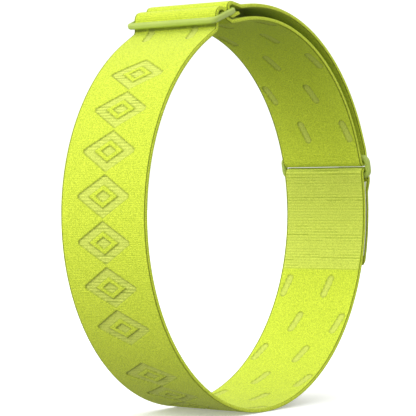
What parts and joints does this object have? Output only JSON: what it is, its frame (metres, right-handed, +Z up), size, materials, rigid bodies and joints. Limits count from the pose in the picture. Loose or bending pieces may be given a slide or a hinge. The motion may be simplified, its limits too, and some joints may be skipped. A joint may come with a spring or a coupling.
{
  "type": "adjustable elastic arm band",
  "caption": "Adjustable loop of woven elastic strap, threaded through a flat slider and a rectangular ring, worn round the arm.",
  "frame": {"origin": "centre of the arm opening, half way across the strap", "axes": "+Y along the axis of the arm opening, +Z up with the slider at the top, +X towards the ring"},
  "size_m": [0.1008, 0.0282, 0.1015],
  "materials": {
    "strap_elastic": "woven elastic, lime",
    "fitting_plastic": "satin moulded, pale lime",
    "bond_film": "hot-melt film, pale"
  },
  "bodies": {
    "band": {"strap_main_run": "strap_elastic", "strap_weave": "strap_elastic", "strap_inner_run": "strap_elastic", "strap_outer_run": "strap_elastic", "strap_end_fold": "strap_elastic", "tail_bond_film": "bond_film"},
    "slider": {"slider": "fitting_plastic", "strap_slider_wrap": "strap_elastic", "wrap_bond_film": "bond_film"},
    "ring": {"ring": "fitting_plastic", "strap_ring_fold": "strap_elastic"}
  },
  "joints": [
    {"name": "slider_rock", "type": "hinge", "parent": "band", "child": "slider", "pos_m": [-0.01859, 0, 0.04792], "axis": [0, -1, 0], "range_deg": [-3, 12]},
    {"name": "ring_swing", "type": "hinge", "parent": "band", "child": "ring", "pos_m": [0.04919, 0, 0.01056], "axis": [0, 1, 0], "range_deg": [-10, 10]}
  ]
}
